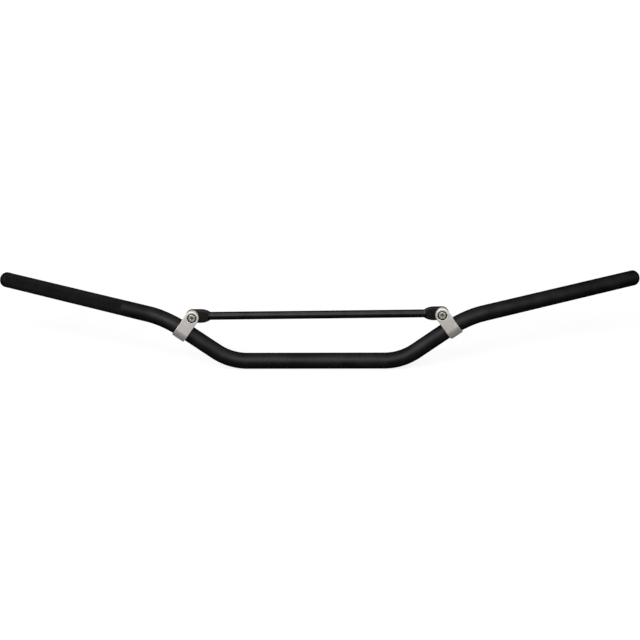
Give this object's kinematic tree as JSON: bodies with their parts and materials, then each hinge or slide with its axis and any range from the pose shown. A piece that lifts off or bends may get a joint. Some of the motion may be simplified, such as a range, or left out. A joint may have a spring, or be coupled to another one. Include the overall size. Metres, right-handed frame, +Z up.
{
  "type": "motorcycle handlebar",
  "caption": "Wide swept-back off-road handlebar: bent tube with end plugs and a crossbar bolted between two clamps.",
  "frame": {"origin": "middle of the straight centre section, on the axis of the tube, where a fork clamp holds it", "axes": "+X along the bar to the right as seen from the front of the picture, +Y to the rear where the grip arms sweep, +Z up"},
  "size_m": [0.9268, 0.1776, 0.1005],
  "materials": {
    "satin_black": "satin black coating over aluminium, knurled under the left grip",
    "black_plastic": "fine matte, moulded",
    "silver_aluminium": "machined and lightly blasted, bright edges",
    "zinc_steel": "bright zinc plating",
    "black_steel": "black oxide",
    "white_nylon": "smooth, slightly translucent"
  },
  "bodies": {
    "bar": {"bar_tube": "satin_black", "crossbar": "satin_black", "left_clamp": "silver_aluminium", "right_clamp": "silver_aluminium", "left_lock_nut": "zinc_steel", "right_lock_nut": "zinc_steel", "left_nut_ring": "white_nylon", "right_nut_ring": "white_nylon"},
    "left_plug": {"left_end_plug": "black_plastic"},
    "right_plug": {"right_end_plug": "black_plastic"},
    "left_screw_travel": {"left_washer": "black_steel"},
    "right_screw_travel": {"right_washer": "black_steel"},
    "left_screw": {"left_clamp_screw": "zinc_steel"},
    "right_screw": {"right_clamp_screw": "zinc_steel"}
  },
  "joints": [
    {"name": "left_plug_pull", "type": "slide", "parent": "bar", "child": "left_plug", "axis": [-0.8502, 0.5231, 0.0593], "range_m": [0, 0.026]},
    {"name": "right_plug_pull", "type": "slide", "parent": "bar", "child": "right_plug", "axis": [0.8502, 0.5231, 0.0593], "range_m": [0, 0.026]},
    {"name": "left_screw_out", "type": "slide", "parent": "bar", "child": "left_screw_travel", "axis": [0, -1, 0], "range_m": [0, 0.0075]},
    {"name": "left_screw_turn", "type": "hinge", "parent": "left_screw_travel", "child": "left_screw", "pos_m": [-0.16827, 0, 0.06407], "axis": [0, -1, 0], "range_deg": [0, 2700]},
    {"name": "right_screw_out", "type": "slide", "parent": "bar", "child": "right_screw_travel", "axis": [0, -1, 0], "range_m": [0, 0.0075]},
    {"name": "right_screw_turn", "type": "hinge", "parent": "right_screw_travel", "child": "right_screw", "pos_m": [0.17286, 0, 0.06728], "axis": [0, -1, 0], "range_deg": [0, 2700]}
  ],
  "couplings": [
    {"joint": "left_screw_turn", "follows": "left_screw_out", "rad_per_m": 6283.2},
    {"joint": "right_screw_turn", "follows": "right_screw_out", "rad_per_m": 6283.2}
  ]
}
